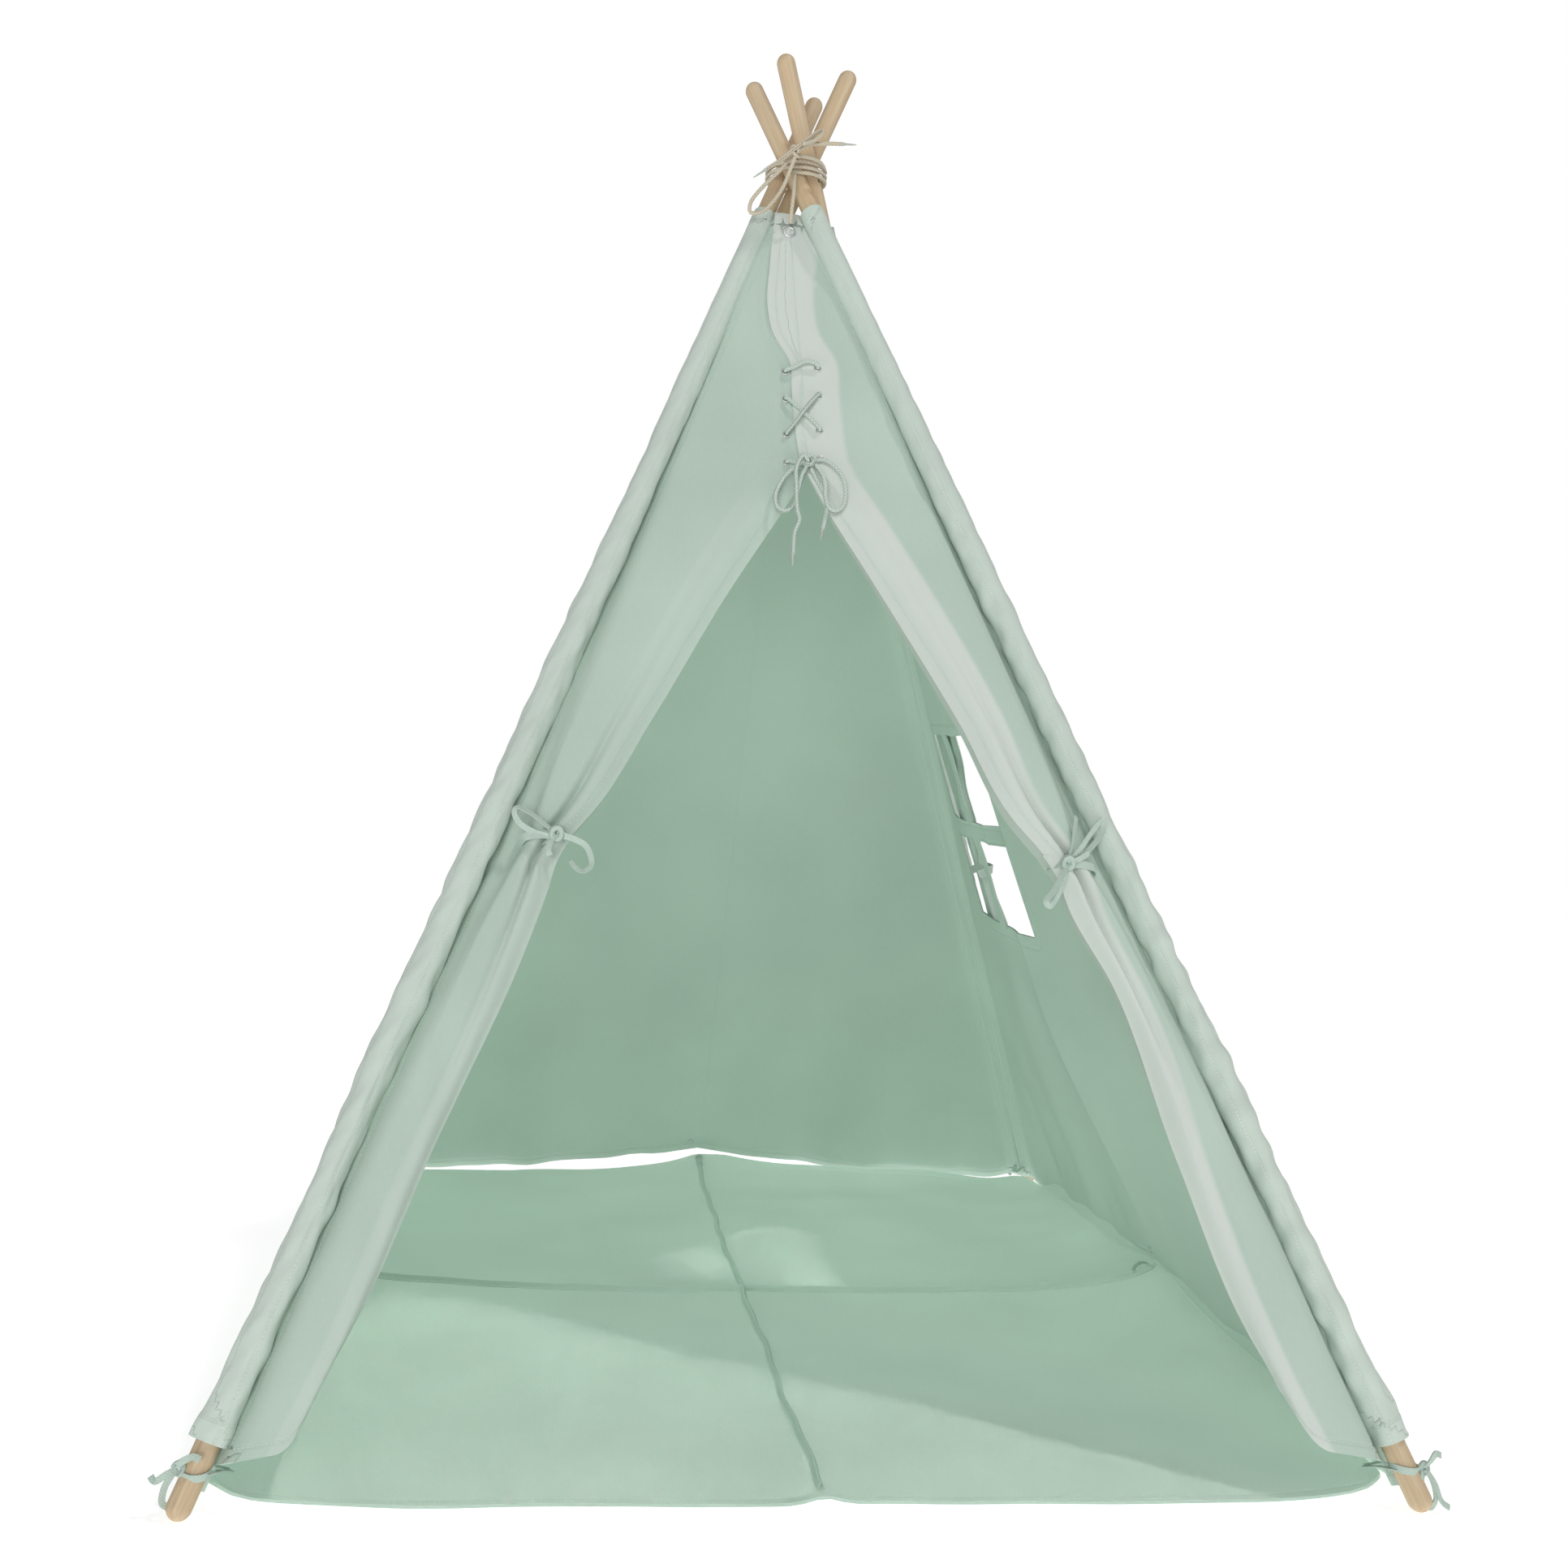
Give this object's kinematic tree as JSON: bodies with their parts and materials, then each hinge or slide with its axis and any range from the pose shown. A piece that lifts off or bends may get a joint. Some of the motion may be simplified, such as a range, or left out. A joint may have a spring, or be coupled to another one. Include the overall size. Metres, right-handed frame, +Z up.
{
  "type": "play tent",
  "caption": "Teepee play tent: crossed wooden poles in sleeves of a canvas cover, laced front, tied-back door, side window and floor mat.",
  "frame": {"origin": "centre of the base on the floor, under the crossing of the poles", "axes": "+Z up; the door faces -Y; +X to the right as seen from the door"},
  "size_m": [1.224, 1.224, 1.6414],
  "materials": {
    "wood": "sanded pale hardwood",
    "ferrule": "drawn tube",
    "canvas": "cotton canvas, plain weave",
    "tape": "woven tape",
    "nickel": "nickel-plated",
    "lacing": "woven tape",
    "lashing": "braided cotton cord",
    "mat": "thin padded fabric"
  },
  "bodies": {
    "mat": {"floor_mat": "mat", "mat_seams": "mat", "mat_loops": "tape"},
    "lashing": {"lashing_cord": "lashing", "lashing_bow": "lashing"},
    "frame_fl": {"pole_fl_lower": "wood", "pole_fl_middle": "wood", "pole_fl_upper": "wood", "pole_fl_ferrules": "ferrule", "sleeve_fl": "canvas", "left_wall_front": "canvas", "front_panel_left": "canvas", "door_tie_left": "tape", "lacing_eyelets_left": "nickel", "corner_tie_fl": "tape", "hem_eyelet_left": "nickel"},
    "frame_fr": {"pole_fr_lower": "wood", "pole_fr_middle": "wood", "pole_fr_upper": "wood", "pole_fr_ferrules": "ferrule", "sleeve_fr": "canvas", "right_wall_front": "canvas", "window_bars_front": "canvas", "front_panel_right": "canvas", "door_tie_right": "tape", "lacing_eyelets_right": "nickel", "top_eyelet": "nickel", "lacing_stitch": "lacing", "lacing_cross_under": "lacing", "lacing_cross_over": "lacing", "lacing_loop_left": "lacing", "lacing_loop_right": "lacing", "lacing_tail_left": "lacing", "lacing_tail_right": "lacing", "lacing_knot": "lacing", "corner_tie_fr": "tape"},
    "frame_br": {"pole_br_lower": "wood", "pole_br_middle": "wood", "pole_br_upper": "wood", "pole_br_ferrules": "ferrule", "sleeve_br": "canvas", "right_wall_rear": "canvas", "window_bars_rear": "canvas", "back_wall_right": "canvas", "corner_tie_br": "tape", "hem_eyelet_right": "nickel"},
    "frame_bl": {"pole_bl_lower": "wood", "pole_bl_middle": "wood", "pole_bl_upper": "wood", "pole_bl_ferrules": "ferrule", "sleeve_bl": "canvas", "back_wall_left": "canvas", "left_wall_rear": "canvas", "corner_tie_bl": "tape", "hem_eyelet_back": "nickel"},
    "flap_left": {"door_flap_left": "canvas"},
    "flap_right": {"door_flap_right": "canvas"},
    "curtain": {"window_curtain": "canvas", "curtain_tie": "tape"}
  },
  "joints": [
    {"name": "lift", "type": "slide", "parent": "mat", "child": "lashing", "axis": [0, 0, 1], "range_m": [0, 0.6]},
    {"name": "fold_fl", "type": "hinge", "parent": "lashing", "child": "frame_fl", "pos_m": [-0.01344, 0.01344, 1.52], "axis": [0.7228, -0.6911, 0], "range_deg": [0, 24], "deforming": ["left_wall_front", "front_panel_left", "lashing_cord", "lashing_bow", "corner_tie_fl", "door_tie_left", "lacing_eyelets_left", "hem_eyelet_left"]},
    {"name": "fold_fr", "type": "hinge", "parent": "lashing", "child": "frame_fr", "pos_m": [-0.01344, -0.01344, 1.52], "axis": [0.6911, 0.7228, 0], "range_deg": [0, 24], "deforming": ["right_wall_front", "window_bars_front", "front_panel_right", "corner_tie_fr", "door_tie_right", "lacing_eyelets_right", "lacing_stitch", "lacing_cross_under", "lacing_cross_over", "lacing_loop_left", "lacing_loop_right", "lacing_tail_left", "lacing_tail_right", "lacing_knot", "top_eyelet"]},
    {"name": "fold_br", "type": "hinge", "parent": "lashing", "child": "frame_br", "pos_m": [0.01344, -0.01344, 1.52], "axis": [-0.7228, 0.6911, 0], "range_deg": [0, 24], "deforming": ["right_wall_rear", "window_bars_rear", "back_wall_right", "corner_tie_br", "hem_eyelet_right"]},
    {"name": "fold_bl", "type": "hinge", "parent": "lashing", "child": "frame_bl", "pos_m": [0.01344, 0.01344, 1.52], "axis": [-0.6911, -0.7228, 0], "range_deg": [0, 24], "deforming": ["back_wall_left", "left_wall_rear", "corner_tie_bl", "hem_eyelet_back"]},
    {"name": "flap_left_swing", "type": "hinge", "parent": "frame_fl", "child": "flap_left", "pos_m": [-0.46441, -0.4582, 0.36058], "axis": [-0.339, -0.3545, -0.8715], "range_deg": [0, 40]},
    {"name": "flap_right_swing", "type": "hinge", "parent": "frame_fr", "child": "flap_right", "pos_m": [0.4582, -0.46441, 0.36058], "axis": [-0.3545, 0.339, 0.8715], "range_deg": [0, 40]},
    {"name": "curtain_lift", "type": "hinge", "parent": "frame_br", "child": "curtain", "pos_m": [0.29086, 0.12, 0.80059], "axis": [0, -1, 0], "range_deg": [0, 100]}
  ],
  "couplings": [
    {"joint": "fold_fr", "follows": "fold_fl", "ratio": 1},
    {"joint": "fold_br", "follows": "fold_fl", "ratio": 1},
    {"joint": "fold_bl", "follows": "fold_fl", "ratio": 1},
    {"joint": "lift", "follows": "fold_fl", "m_per_rad": 1.4}
  ]
}
